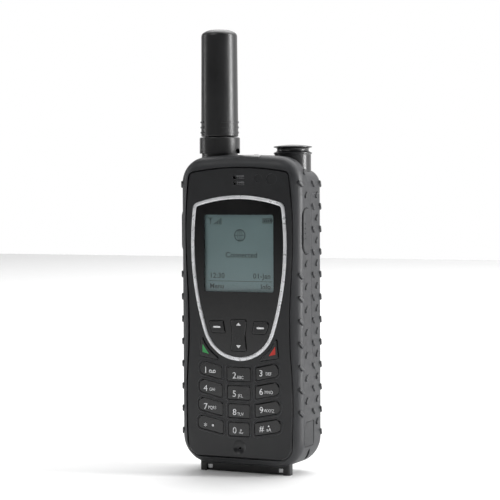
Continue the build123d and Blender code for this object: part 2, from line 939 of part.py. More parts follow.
with BuildPart() as display_panel:
    with BuildSketch(at_y(floor_front_y + panel_setback)):
        with Locations((0, (view_bottom + view_top) / 2)):
            Rectangle(2 * (view_half + glass_margin), view_top - view_bottom + 2 * glass_margin)
    extrude(amount=-(board_front_y - fit_gap - floor_front_y - panel_setback))

pieces = {
    "front_housing": front_housing,
    "port_cover": port_cover,
    "sos_lid": sos_lid,
    "sos_button": sos_button,
    "side_key": side_key,
    "volume_key": volume_key,
    "face_plate": face_plate,
    "bezel_ring": bezel_ring,
    "window_panel": window_panel,
    "display_window": display_window,
    "display_panel": display_panel,
}

for name, outline in key_faces.items():
    middle = outline.face().center()
    with BuildPart() as key:
        with BuildSketch(at_y(-half_depth)):
            add(outline)
        extrude(amount=-key_depth)
        fillet(key.faces().sort_by(Axis.Y)[0].edges(), key_edge)
        with BuildSketch(at_y(key_back_y)):
            with Locations((middle.X, middle.Y)):
                Circle(plunger_radius)
        extrude(amount=-plunger_length)
    pieces[name] = key

with BuildPart() as keypad_mat:
    with BuildSketch(at_y(mat_front_y)):
        with Locations((0, (mat_bottom + mat_top) / 2)):
            RectangleRounded(2 * mat_half, mat_top - mat_bottom, 2.0)
        for outline in key_faces.values():
            middle = outline.face().center()
            with Locations((middle.X, middle.Y)):
                Circle(plunger_radius + plunger_gap, mode=Mode.SUBTRACT)
    extrude(amount=-mat_thickness)
pieces["keypad_mat"] = keypad_mat

with BuildPart() as dome_sheet:
    with BuildSketch(at_y(board_front_y - film_thickness)):
        with Locations((0, (mat_bottom + mat_top) / 2)):
            RectangleRounded(2 * mat_half, mat_top - mat_bottom, 2.0)
    extrude(amount=-film_thickness)
    for outline in key_faces.values():
        middle = outline.face().center()
        with BuildSketch(at_y(board_front_y - film_thickness)):
            with Locations((middle.X, middle.Y)):
                Circle(dome_radius)
        extrude(amount=dome_height, taper=45)
pieces["dome_sheet"] = dome_sheet

with BuildPart() as main_board:
    with BuildSketch(at_y(board_front_y)):
        with Locations((0, (board_bottom + board_top) / 2)):
            RectangleRounded(2 * board_half, board_top - board_bottom, 2.0)
    extrude(amount=-board_thickness)
pieces["main_board"] = main_board


# ---------------------------------------------------------------- electronics
with BuildPart() as shield_cans:
    for x, z, width, height in shield_can_places:
        with BuildSketch(at_y(board_back_y)):
            with Locations((x, z)):
                RectangleRounded(width, height, can_corner)
        extrude(amount=-can_height)
        with BuildSketch(at_y(board_back_y)):
            with Locations((x, z)):
                RectangleRounded(width - 2 * can_wall, height - 2 * can_wall, can_corner - can_wall)
        extrude(amount=-(can_height - can_wall), mode=Mode.SUBTRACT)
pieces["shield_cans"] = shield_cans

with BuildPart() as sim_holder:
    with BuildSketch(at_y(board_back_y + fit_gap)):
        with Locations((sim_x, sim_z)):
            RectangleRounded(sim_width, sim_height, 0.8)
            RectangleRounded(sim_width - 5, sim_height - 5, 0.5, mode=Mode.SUBTRACT)
    extrude(amount=-1.8)
pieces["sim_holder"] = sim_holder

with BuildPart() as battery_contacts:
    with BuildSketch(at_y(board_back_y + fit_gap)):
        with Locations((0, contact_block_z)):
            RectangleRounded(contact_block_width, contact_block_height, contact_block_corner)
    extrude(amount=-(contact_block_y - board_back_y - fit_gap))
    with BuildSketch(at_y(contact_block_y)):
        with Locations((0, contact_block_z)):
            with GridLocations(contact_row_pitch, 0, contact_row_count, 1):
                Circle(contact_pin_radius)
    extrude(amount=-(seam_y + shell_gap - fit_gap - contact_block_y))
    tips = battery_contacts.faces().sort_by(Axis.Y)[-contact_row_count:]
    fillet(tips.edges(), contact_pin_radius / 2)
pieces["battery_contacts"] = battery_contacts

with BuildPart() as side_switches:
    for side in (-1, 1):
        with BuildSketch(at_x(side * (switch_x - 1.0))):
            with Locations((side_key_y, side_key_z)):
                Rectangle(5.0, 18.0)
        extrude(amount=side * 0.4)
        with BuildSketch(at_x(side * (switch_x - 0.6))):
            with Locations((side_key_y, side_key_z - 6), (side_key_y, side_key_z + 6)):
                Circle(1.6)
        extrude(amount=side * 0.5)
pieces["side_switches"] = side_switches

with BuildPart() as earpiece:
    with BuildSketch(at_y(floor_back_y + fit_gap)):
        with Locations((ear_x, ear_glass_z)):
            RectangleRounded(12, 6.8, 2.0)
    extrude(amount=-3.0)
    fillet(earpiece.faces().sort_by(Axis.Y)[-1].edges(), 0.5)
pieces["earpiece"] = earpiece

with BuildPart() as earpiece_mesh:
    with BuildSketch(at_y(floor_front_y + 0.1)):
        with Locations((ear_x, ear_glass_z)):
            Rectangle(8.8, 5.8)
            with GridLocations(0.9, 0.9, 9, 6):
                Circle(0.28, mode=Mode.SUBTRACT)
    extrude(amount=-0.3)
pieces["earpiece_mesh"] = earpiece_mesh

with BuildPart() as microphone:
    with BuildSketch(at_y(floor_back_y + fit_gap)):
        with Locations((0, microphone_z)):
            Circle(microphone_radius)
    extrude(amount=-microphone_height)
pieces["microphone"] = microphone

with BuildPart() as loudspeaker:
    with BuildSketch(at_y(half_depth - wall - fit_gap - speaker_height)):
        with Locations((speaker_x, speaker_z)):
            Circle(speaker_radius)
    extrude(amount=-speaker_height)
    fillet(loudspeaker.faces().sort_by(Axis.Y)[0].edges(), 1.0)
pieces["loudspeaker"] = loudspeaker

with BuildPart() as vibration_motor:
    with BuildSketch(at_x(4)):
        with Locations((7.5, 26)):
            Circle(2.2)
    extrude(amount=9)
    with BuildSketch(at_x(13)):
        with Locations((7.5, 26)):
            Circle(0.4)
    extrude(amount=4)
    with BuildSketch(at_x(13.8)):
        with Locations((7.5, 26)):
            Circle(2.4)
            Rectangle(6, 3, align=(Align.CENTER, Align.MIN), mode=Mode.SUBTRACT)
    extrude(amount=3)
pieces["vibration_motor"] = vibration_motor

with BuildPart() as headset_jack:
    with BuildSketch(at_x(inner_half - jack_nose - fit_gap)):
        with Locations((jack_y, jack_z)):
            RectangleRounded(jack_size, jack_size, 0.8)
    extrude(amount=-jack_body)
    with BuildSketch(at_x(inner_half - jack_nose - fit_gap)):
        with Locations((jack_y, jack_z)):
            Circle(jack_nose_radius)
    extrude(amount=jack_nose + 0.2)
    with BuildSketch(at_x(inner_half + 0.2 - jack_depth)):
        with Locations((jack_y, jack_z)):
            Circle(jack_bore_radius)
    extrude(amount=reach, mode=Mode.SUBTRACT)
pieces["headset_jack"] = headset_jack

# ---------------------------------------------------------------- rear cover, gasket and screws
screw_places = [(side * screw_x, z) for z in screw_rows for side in (-1, 1)]
with BuildPart() as side_key_clearance:
    with BuildSketch(at_x(-reach)):
        add(side_slot(side_gap))
    extrude(amount=2 * reach)
    with BuildSketch(at_z(side_key_z - reach)):
        Rectangle(2 * (body_half + side_key_proud - side_key_depth - side_key_travel - side_gap), reach)
    extrude(amount=2 * reach, mode=Mode.SUBTRACT)

with BuildPart() as rear_cover:
    with BuildSketch(at_y(cover_front_y)):
        with Locations((0, (cover_bottom + cover_top) / 2)):
            Rectangle(2 * cover_half, cover_top - cover_bottom)
    extrude(amount=-cover_thickness)
    with BuildSketch(at_y(cover_front_y)):
        with Locations((sim_x, sim_z)):
            RectangleRounded(sim_width + 2 * window_gap, sim_height + 2 * window_gap, cover_window_corner)
        with Locations((0, contact_block_z)):
            RectangleRounded(
                contact_block_width + 2 * window_gap,
                contact_block_height + 2 * window_gap,
                cover_window_corner,
            )
        with Locations(*screw_places):
            Circle(screw_radius + screw_clearance)
    extrude(amount=-cover_thickness, mode=Mode.SUBTRACT)
    with BuildSketch(at_y(cover_back_y - head_height)):
        with Locations(*screw_places):
            Circle(head_radius + screw_clearance)
    extrude(amount=-head_height, mode=Mode.SUBTRACT)
    add(side_key_clearance.part, mode=Mode.SUBTRACT)
pieces["rear_cover"] = rear_cover

with BuildPart() as cover_gasket:
    with BuildSketch(at_y(cover_front_y - gasket_thickness + fit_gap)):
        with Locations((0, (cover_bottom + top_block_z) / 2)):
            Rectangle(2 * (inner_half - gasket_inset), top_block_z - cover_bottom - 2 * gasket_inset)
            Rectangle(
                2 * (inner_half - ledge_width + gasket_inset),
                top_block_z - cover_bottom - 2 * (ledge_width - gasket_inset),
                mode=Mode.SUBTRACT,
            )
    extrude(amount=-(gasket_thickness - 2 * fit_gap))
    add(side_key_clearance.part, mode=Mode.SUBTRACT)
pieces["cover_gasket"] = cover_gasket

with BuildPart() as cover_screws:
    with BuildSketch(at_y(cover_back_y - head_height)):
        with Locations(*screw_places):
            Circle(head_radius)
    extrude(amount=-(head_height - fit_gap))
    with BuildSketch(at_y(cover_back_y - head_height)):
        with Locations(*screw_places):
            Circle(screw_radius - screw_fit)
    extrude(amount=screw_length - head_height)
    with BuildSketch(at_y(cover_back_y - fit_gap - recess_depth)):
        with Locations(*screw_places):
            Rectangle(recess_length, recess_width)
            Rectangle(recess_width, recess_length)
    extrude(amount=-recess_depth, mode=Mode.SUBTRACT)
pieces["cover_screws"] = cover_screws

# ---------------------------------------------------------------- battery pack
with BuildPart() as battery_space:
    with BuildSketch(at_x(-body_half - stud_height - 1)):
        add(bay_outline(shell_gap))
    extrude(amount=body_width + 2 * stud_height + 2)

with BuildPart() as battery_case:
    add(studded_body.part)
    add(battery_space.part, mode=Mode.INTERSECT)
    with BuildSketch(at_y(seam_y - 1)):
        with Locations((0, (tray_bottom + tray_top) / 2)):
            RectangleRounded(2 * tray_half + 0.1, tray_top - tray_bottom + 0.1, 2.0)
    extrude(amount=-(cell_front_y + cell_thickness + 0.2 - seam_y + 1), mode=Mode.SUBTRACT)
    with BuildSketch(at_y(half_depth - 0.5)):
        with Locations((0, 84)):
            RectangleRounded(36, 46, 4)
    extrude(amount=-1, mode=Mode.SUBTRACT)
    with BuildSketch(at_y(half_depth - 0.9)):
        with Locations((0, 116.5)):
            with GridLocations(0, 2.2, 1, 4):
                SlotOverall(20, 1.1)
    extrude(amount=-1, mode=Mode.SUBTRACT)
pieces["battery_case"] = battery_case

with BuildPart() as battery_tray:
    with BuildSketch(at_y(seam_y + shell_gap)):
        with Locations((0, (tray_bottom + tray_top) / 2)):
            RectangleRounded(2 * tray_half, tray_top - tray_bottom, 2.0)
    extrude(amount=-tray_thickness)
    with BuildSketch(at_y(seam_y + shell_gap)):
        with Locations((0, contact_block_z)):
            with GridLocations(3.2, 0, 4, 1):
                Rectangle(2.2, 3.6)
    extrude(amount=-0.4, mode=Mode.SUBTRACT)
pieces["battery_tray"] = battery_tray

with BuildPart() as battery_terminals:
    with BuildSketch(at_y(seam_y + shell_gap + 0.15)):
        with Locations((0, contact_block_z)):
            with GridLocations(3.2, 0, 4, 1):
                Rectangle(2.1, 3.5)
    extrude(amount=-0.24)
pieces["battery_terminals"] = battery_terminals

with BuildPart() as battery_cell:
    with BuildSketch(at_y(cell_front_y)):
        with Locations((0, (cell_bottom + cell_top) / 2)):
            RectangleRounded(2 * cell_half, cell_top - cell_bottom, 2.5)
    extrude(amount=-cell_thickness)
    fillet(battery_cell.edges().filter_by(Axis.Y, reverse=True).group_by(Axis.Y)[-1], cell_round)
pieces["battery_cell"] = battery_cell

with BuildPart() as battery_latch:
    with BuildSketch(at_y(half_depth - latch_thickness)):
        with Locations((0, latch_top - latch_gap)):
            Rectangle(2 * latch_half, latch_height, align=(Align.CENTER, Align.MAX))
    extrude(amount=-latch_thickness)
    with BuildSketch(at_y(half_depth - 0.35)):
        with Locations((0, latch_top - latch_gap - latch_height / 2)):
            with GridLocations(0, 1.2, 1, 4):
                Rectangle(2 * latch_half, 0.6)
    extrude(amount=-1, mode=Mode.SUBTRACT)
pieces["battery_latch"] = battery_latch

# ---------------------------------------------------------------- antenna
with BuildPart() as antenna_pivot_pin:
    with BuildSketch(at_y(antenna_y + pin_length / 2 - fit_gap)):
        with Locations((antenna_x, pivot_z)):
            Circle(pin_radius - 0.02)
    extrude(amount=pin_length - 2 * fit_gap)
pieces["antenna_pivot_pin"] = antenna_pivot_pin

with BuildPart() as antenna_swivel:
    with Locations((antenna_x, antenna_y, pivot_z)):
        Sphere(ball_radius)
    for z, top, radius in (
        (pivot_z, flange_z, ball_radius),
        (flange_z, collar_z, flange_radius),
        (collar_z, collar_z + 2.5, mast_radius + 1.2),
    ):
        with BuildSketch(at_z(z)):
            with Locations((antenna_x, antenna_y)):
                Circle(radius)
        extrude(amount=top - z)
    with BuildSketch(at_z(mast_seat_z)):
        with Locations((antenna_x, antenna_y)):
            Circle(mast_radius + fit_gap)
    extrude(amount=reach, mode=Mode.SUBTRACT)
    with BuildSketch(at_y(antenna_y + reach / 2)):
        with Locations((antenna_x, pivot_z)):
            Circle(pin_radius + running_gap)
    extrude(amount=reach, mode=Mode.SUBTRACT)
pieces["antenna_swivel"] = antenna_swivel

with BuildPart() as antenna_collar:
    with BuildSketch(at_z(collar_z + fit_gap)):
        with Locations((antenna_x, antenna_y)):
            Circle(collar_radius)
    extrude(amount=collar_top - collar_z - fit_gap)
    fillet(antenna_collar.faces().sort_by(Axis.Z)[-1].edges(), 0.7)
    with BuildSketch(at_z(collar_z)):
        with Locations((antenna_x, antenna_y)):
            Circle(mast_radius + 1.25)
    extrude(amount=2.6, mode=Mode.SUBTRACT)
    with BuildSketch(at_z(collar_z)):
        with Locations((antenna_x, antenna_y)):
            Circle(mast_radius + fit_gap)
    extrude(amount=reach, mode=Mode.SUBTRACT)
    with BuildSketch(at_x(antenna_x + collar_radius - 1.5)):
        with Locations((antenna_y, collar_z)):
            Circle(2.4)
    extrude(amount=5, mode=Mode.SUBTRACT)
pieces["antenna_collar"] = antenna_collar

with BuildPart() as antenna_mast:
    for z, top, radius in (
        (mast_seat_z + fit_gap, mast_top, mast_radius),
        (mast_top - piston_height, mast_top, piston_radius),
    ):
        with BuildSketch(at_z(z)):
            with Locations((antenna_x, antenna_y)):
                Circle(radius)
        extrude(amount=top - z)
    with BuildSketch(at_z(mast_seat_z)):
        with Locations((antenna_x, antenna_y)):
            Circle(mast_bore)
    extrude(amount=reach, mode=Mode.SUBTRACT)
pieces["antenna_mast"] = antenna_mast

with BuildPart() as antenna_radome:
    with BuildSketch(Plane.XZ.offset(-antenna_y)):
        with BuildLine():
            Polyline(
                (antenna_x, stub_z),
                (antenna_x + stub_radius, stub_z),
                (antenna_x + stub_tip_radius, stub_shoulder),
            )
            Spline(
                (antenna_x + stub_tip_radius, stub_shoulder),
                (antenna_x + stub_tip_radius - stub_crown, stub_top - stub_crown_drop),
                (antenna_x, stub_top),
                tangents=[(0, 1), (-1, 0)],
            )
            Line((antenna_x, stub_top), (antenna_x, stub_z))
        make_face()
    revolve(axis=Axis((antenna_x, antenna_y, 0), (0, 0, 1)))
    fillet(antenna_radome.faces().sort_by(Axis.Z)[0].edges(), stub_foot_round)
    for z in grip_rows:
        with BuildSketch(at_z(z - grip_width / 2)):
            with Locations((antenna_x, antenna_y)):
                Circle(stub_radius + grip_height)
                Circle(stub_radius - grip_height, mode=Mode.SUBTRACT)
                Rectangle(grip_break, 2 * collar_radius, mode=Mode.SUBTRACT)
        extrude(amount=grip_width)
    with BuildSketch(at_z(stub_z)):
        with Locations((antenna_x, antenna_y)):
            Circle(mast_radius + running_gap)
    extrude(amount=stub_lip, mode=Mode.SUBTRACT)
    with BuildSketch(at_z(stub_z + stub_lip)):
        with Locations((antenna_x, antenna_y)):
            Circle(stub_bore)
    extrude(amount=stub_bore_top - stub_z - stub_lip, mode=Mode.SUBTRACT)
pieces["antenna_radome"] = antenna_radome

with BuildPart() as antenna_element:
    with BuildSketch(at_z(stub_z + stub_lip + fit_gap)):
        with Locations((antenna_x, antenna_y)):
            Circle(stub_bore - fit_gap)
            Circle(stub_bore - fit_gap - element_wall, mode=Mode.SUBTRACT)
    extrude(amount=element_top - stub_z - stub_lip - fit_gap)
pieces["antenna_element"] = antenna_element

# ---------------------------------------------------------------- navigation receiver stub
with BuildPart() as receiver_radome:
    neck_x = stub2_x + stub2_neck_radius
    lip_x = stub2_x + stub2_lip_radius
    neck_bottom = stub2_flange_z + stub2_edge + stub2_neck_drop
    neck_top = stub2_lip_z - stub2_flare
    with BuildSketch(Plane.XZ.offset(-antenna_y)):
        with BuildLine():
            Polyline(
                (stub2_x, stub2_base_z),
                (stub2_x + stub2_radius, stub2_base_z),
                (stub2_x + stub2_radius, stub2_flange_z - stub2_neck_drop),
                (lip_x, stub2_flange_z),
                (lip_x, stub2_flange_z + stub2_edge),
                (neck_x + stub2_flare, neck_bottom),
            )
            ThreePointArc(
                (neck_x + stub2_flare, neck_bottom),
                (neck_x, (neck_bottom + neck_top) / 2),
                (neck_x + stub2_flare, neck_top),
            )
            Polyline((neck_x + stub2_flare, neck_top), (lip_x, stub2_lip_z), (lip_x, stub2_lip_z + stub2_edge))
            TangentArc((stub2_x, stub2_top), (lip_x, stub2_lip_z + stub2_edge), tangent=(1, 0))
            Line((stub2_x, stub2_top), (stub2_x, stub2_base_z))
        make_face()
    revolve(axis=Axis((stub2_x, antenna_y, 0), (0, 0, 1)))
    with BuildSketch(at_z(stub2_base_z)):
        with Locations((stub2_x, antenna_y)):
            Circle(stub2_neck_radius - stub2_wall)
    extrude(amount=stub2_lip_z - stub2_wall - stub2_base_z, mode=Mode.SUBTRACT)
pieces["receiver_radome"] = receiver_radome

with BuildPart() as receiver_antenna:
    with BuildSketch(at_z(stub2_base_z + fit_gap)):
        with Locations((stub2_x, antenna_y)):
            Circle(stub2_neck_radius - stub2_wall - fit_gap)
    extrude(amount=patch_height)
pieces["receiver_antenna"] = receiver_antenna

# ---------------------------------------------------------------- bottom connector
with BuildPart() as dock_block:
    with BuildSketch(at_z(0)):
        add(dock_outline(0))
    extrude(amount=dock_top)
    with BuildSketch(at_z(0)):
        with Locations((0, -dock_depth / 2)):
            Rectangle(2 * (dock_half - dock_ear), 2 * dock_apron)
    extrude(amount=underside_z - dock_lip, mode=Mode.SUBTRACT)
    with BuildSketch(at_z(0)):
        Rectangle(2 * dock_recess_half, dock_recess_depth)
    extrude(amount=dock_recess_height, mode=Mode.SUBTRACT)
pieces["dock_block"] = dock_block

with BuildPart() as dock_contacts:
    with BuildSketch(at_z(dock_recess_height - contact_height)):
        with GridLocations(contact_pitch, contact_row_gap, contact_columns, 2):
            Rectangle(contact_size, contact_length)
    extrude(amount=contact_height)
pieces["dock_contacts"] = dock_contacts

with BuildPart() as lanyard_bar:
    with BuildSketch(Plane(origin=lanyard_mouth - lanyard_out * lanyard_bar_depth, x_dir=lanyard_out, z_dir=bar_along)):
        Circle(lanyard_bar_radius)
    extrude(amount=lanyard_width / 2 + 0.8, both=True)
pieces["lanyard_bar"] = lanyard_bar

for name, piece in pieces.items():
    piece.part.label = name
    export_step(piece.part, f"parts/{name}.step")
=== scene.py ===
"""Looks of the rugged satellite phone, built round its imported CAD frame."""

import json
import math

import bmesh
import bpy
from mathutils import Matrix, Vector


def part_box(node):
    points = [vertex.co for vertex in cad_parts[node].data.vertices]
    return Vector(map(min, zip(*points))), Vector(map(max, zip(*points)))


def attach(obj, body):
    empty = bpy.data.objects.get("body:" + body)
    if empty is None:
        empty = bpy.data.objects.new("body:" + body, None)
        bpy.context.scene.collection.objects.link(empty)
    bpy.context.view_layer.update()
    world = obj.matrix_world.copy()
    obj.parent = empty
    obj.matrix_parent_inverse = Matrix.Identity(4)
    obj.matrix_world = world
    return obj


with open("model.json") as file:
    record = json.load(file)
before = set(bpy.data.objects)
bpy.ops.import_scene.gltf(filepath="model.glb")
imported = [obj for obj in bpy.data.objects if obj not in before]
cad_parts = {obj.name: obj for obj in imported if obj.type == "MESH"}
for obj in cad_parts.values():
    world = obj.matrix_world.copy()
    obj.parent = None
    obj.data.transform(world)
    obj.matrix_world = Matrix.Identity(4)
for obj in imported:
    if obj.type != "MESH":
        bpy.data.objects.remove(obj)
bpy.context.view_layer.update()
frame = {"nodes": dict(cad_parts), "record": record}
nodes = frame["nodes"]
MM = 0.001
INK_LIFT = 0.01
INK_DEPTH = 0.02


# ------------------------------------------------------------------ materials
def tone(color, factor=1.0):
    """Opaque colour, dimmed or lifted by a factor."""
    return [part * factor for part in color] + [1]


class Shader:
    """A node material with short calls for its nodes and links."""

    def __init__(self, name):
        self.material = bpy.data.materials.new(name)
        self.material.use_nodes = True
        self.tree = self.material.node_tree
        self.tree.nodes.clear()
        self.output = self.tree.nodes.new("ShaderNodeOutputMaterial")
        self.coords = self.tree.nodes.new("ShaderNodeTexCoord").outputs["Object"]

    def node(self, kind, inputs=None, **settings):
        made = self.tree.nodes.new("ShaderNode" + kind)
        for key, value in settings.items():
            setattr(made, key, value)
        for key, value in (inputs or {}).items():
            socket = made.inputs[key]
            if isinstance(value, bpy.types.NodeSocket):
                self.tree.links.new(value, socket)
            else:
                socket.default_value = value
        return made

    def noise(self, scale, detail=4.0, rough=0.55, vector=None, distortion=0.0):
        made = self.node(
            "TexNoise",
            {
                "Vector": vector or self.coords,
                "Scale": scale,
                "Detail": detail,
                "Roughness": rough,
                "Distortion": distortion,
            },
        )
        return made.outputs["Fac"]

    def grain(self, size):
        """Rounded moulded grain: cells of about the given size in metres."""
        made = self.node(
            "TexVoronoi",
            {"Vector": self.coords, "Scale": 1.0 / size},
            feature="SMOOTH_F1",
        )
        return made.outputs["Distance"]

    def remap(self, value, low, high, to_low, to_high):
        made = self.node(
            "MapRange",
            {0: value, 1: low, 2: high, 3: to_low, 4: to_high},
            clamp=True,
        )
        return made.outputs[0]

    def math(self, operation, a, b=0.0):
        return self.node("Math", {0: a, 1: b}, operation=operation).outputs[0]

    def mix(self, factor, a, b):
        made = self.node("Mix", data_type="RGBA")
        for socket, value in ((made.inputs[0], factor), (made.inputs[6], a), (made.inputs[7], b)):
            if isinstance(value, bpy.types.NodeSocket):
                self.tree.links.new(value, socket)
            else:
                socket.default_value = value
        return made.outputs[2]

    def stretched(self, x, y, z):
        made = self.node("Mapping", {"Vector": self.coords, "Scale": (x, y, z)})
        return made.outputs["Vector"]

    def bumps(self, *layers):
        """Stack of (height, distance in metres, strength) into one normal."""
        normal = None
        for height, distance, strength in layers:
            inputs = {"Height": height, "Distance": distance, "Strength": strength}
            if normal is not None:
                inputs["Normal"] = normal
            normal = self.node("Bump", inputs).outputs["Normal"]
        return normal

    def edge(self, radius):
        """1 on worn edges, 0 on flats: how far a rounded normal leaves the face's own."""
        bevel = self.node("Bevel", {"Radius": radius}, samples=6).outputs[0]
        geometry = self.node("NewGeometry").outputs["Normal"]
        dot = self.node("VectorMath", {0: bevel, 1: geometry}, operation="DOT_PRODUCT")
        return self.remap(dot.outputs["Value"], 0.995, 0.80, 0.0, 1.0)

    def surface(self, **inputs):
        names = {
            "color": "Base Color",
            "metallic": "Metallic",
            "roughness": "Roughness",
            "normal": "Normal",
            "specular": "Specular IOR Level",
            "coat": "Coat Weight",
            "coat_roughness": "Coat Roughness",
        }
        bsdf = self.node("BsdfPrincipled", {names[k]: v for k, v in inputs.items()})
        self.tree.links.new(bsdf.outputs[0], self.output.inputs["Surface"])
        return self.material


def plastic(name, base, worn, roughness, grain_size, grain_depth, coat=0.0, coat_roughness=0.2, specular=0.5):
    """Moulded plastic: fine grain, faint cloudiness, lighter rubbed edges."""
    s = Shader(name)
    cloud = s.noise(90.0, 3.0)
    fine = s.noise(1400.0, 2.0)
    smudge = s.noise(38.0, 5.0, 0.6, distortion=0.4)
    color = s.mix(s.remap(cloud, 0.3, 0.7, 0.0, 1.0), tone(base, 0.86), tone(base))
    wear = s.math("MULTIPLY", s.edge(0.00025), s.remap(s.noise(420.0, 4.0), 0.38, 0.62, 0.15, 0.75))
    color = s.mix(wear, color, tone(worn))
    rough = s.remap(smudge, 0.3, 0.7, roughness - 0.07, roughness + 0.07)
    rough = s.math("ADD", rough, s.remap(fine, 0.35, 0.65, -0.03, 0.03))
    normal = s.bumps((s.grain(grain_size), grain_depth, 0.55), (fine, grain_depth * 0.6, 0.35))
    return s.surface(
        color=color,
        roughness=rough,
        normal=normal,
        coat=coat,
        coat_roughness=coat_roughness,
        specular=specular,
    )


def brushed(name, base, roughness, across=(60.0, 60.0, 2600.0), dull=None, depth=0.00001, metallic=1.0):
    """Metal with fine drawn lines and a slightly uneven polish."""
    s = Shader(name)
    lines = s.noise(1.0, 3.0, 0.7, s.stretched(*across))
    cloud = s.noise(160.0, 3.0)
    dull = dull or [c * 0.75 for c in base]
    color = s.mix(s.remap(cloud, 0.3, 0.7, 0.0, 1.0), tone(dull), tone(base))
    rough = s.remap(lines, 0.3, 0.7, roughness - 0.06, roughness + 0.08)
    return s.surface(color=color, metallic=metallic, roughness=rough, normal=s.bumps((lines, depth, 0.3)))


def printed(name, ink, roughness=0.45):
    """Pad-printed ink, a little uneven in tone."""
    s = Shader(name)
    speck = s.noise(2600.0, 3.0)
    color = s.mix(s.remap(speck, 0.3, 0.75, 0.0, 1.0), tone(ink), tone(ink, 0.82))
    return s.surface(
        color=color,
        roughness=s.remap(speck, 0.3, 0.7, roughness - 0.05, roughness + 0.1),
        normal=s.bumps((speck, 0.000004, 0.3)),
    )


def clear_window(name):
    """Clear display window: mostly see-through, with a soft-edged gloss."""
    s = Shader(name)
    smudge = s.noise(60.0, 4.0, 0.6, distortion=0.6)
    clear = s.node("BsdfTransparent", {"Color": (0.97, 0.985, 0.985, 1)})
    rough = s.remap(smudge, 0.3, 0.7, 0.03, 0.1)
    gloss = s.node("BsdfGlossy", {"Color": (0.95, 0.97, 1.0, 1), "Roughness": rough})
    mixed = s.node("MixShader", {0: 0.045, 1: clear.outputs[0], 2: gloss.outputs[0]})
    s.tree.links.new(mixed.outputs[0], s.output.inputs["Surface"])
    return s.material


def display_face(name, base):
    """Reflective display: grey-green, with its faint dot grid and a softly uneven field."""
    s = Shader(name)
    field = s.noise(26.0, 2.0)
    split = s.node("SeparateXYZ", {"Vector": s.coords})
    dot_pitch = 0.00028
    cell_x = s.math("PINGPONG", s.math("MULTIPLY", split.outputs["X"], 1.0 / dot_pitch), 0.5)
    cell_z = s.math("PINGPONG", s.math("MULTIPLY", split.outputs["Z"], 1.0 / dot_pitch), 0.5)
    grid = s.remap(s.math("MINIMUM", cell_x, cell_z), 0.02, 0.1, 0.93, 1.0)
    tint = s.mix(s.remap(field, 0.3, 0.7, 0.0, 1.0), tone(base, 0.9), tone(base, 1.06))
    shade = s.node("CombineColor", {0: grid, 1: grid, 2: grid})
    product = s.node("Mix", data_type="RGBA", blend_type="MULTIPLY")
    product.inputs[0].default_value = 1.0
    s.tree.links.new(tint, product.inputs[6])
    s.tree.links.new(shade.outputs[0], product.inputs[7])
    normal = s.bumps((field, 0.00001, 0.1))
    return s.surface(color=product.outputs[2], roughness=0.5, specular=0.4, normal=normal)


def circuit(name):
    """Green solder mask with tracks in two greens."""
    s = Shader(name)
    split = s.node("SeparateXYZ", {"Vector": s.coords})
    flat = s.node("CombineXYZ", {0: split.outputs["X"], 1: split.outputs["Z"], 2: 0.0}).outputs[0]
    brick = s.node("TexBrick", {"Vector": flat, "Scale": 220.0, "Mortar Size": 0.03})
    tracks = s.remap(brick.outputs["Fac"], 0.0, 1.0, 0.0, 1.0)
    color = s.mix(tracks, (0.012, 0.10, 0.045, 1), (0.03, 0.17, 0.08, 1))
    normal = s.bumps((brick.outputs["Fac"], 0.00002, 0.4))
    return s.surface(color=color, roughness=0.35, normal=normal, coat=0.4)


def ceramic(name, base):
    """Fired ceramic with a fine speckle."""
    s = Shader(name)
    speck = s.noise(700.0, 4.0)
    color = s.mix(speck, tone(base, 0.8), tone(base))
    return s.surface(color=color, roughness=0.6, normal=s.bumps((speck, 0.00002, 0.3)))


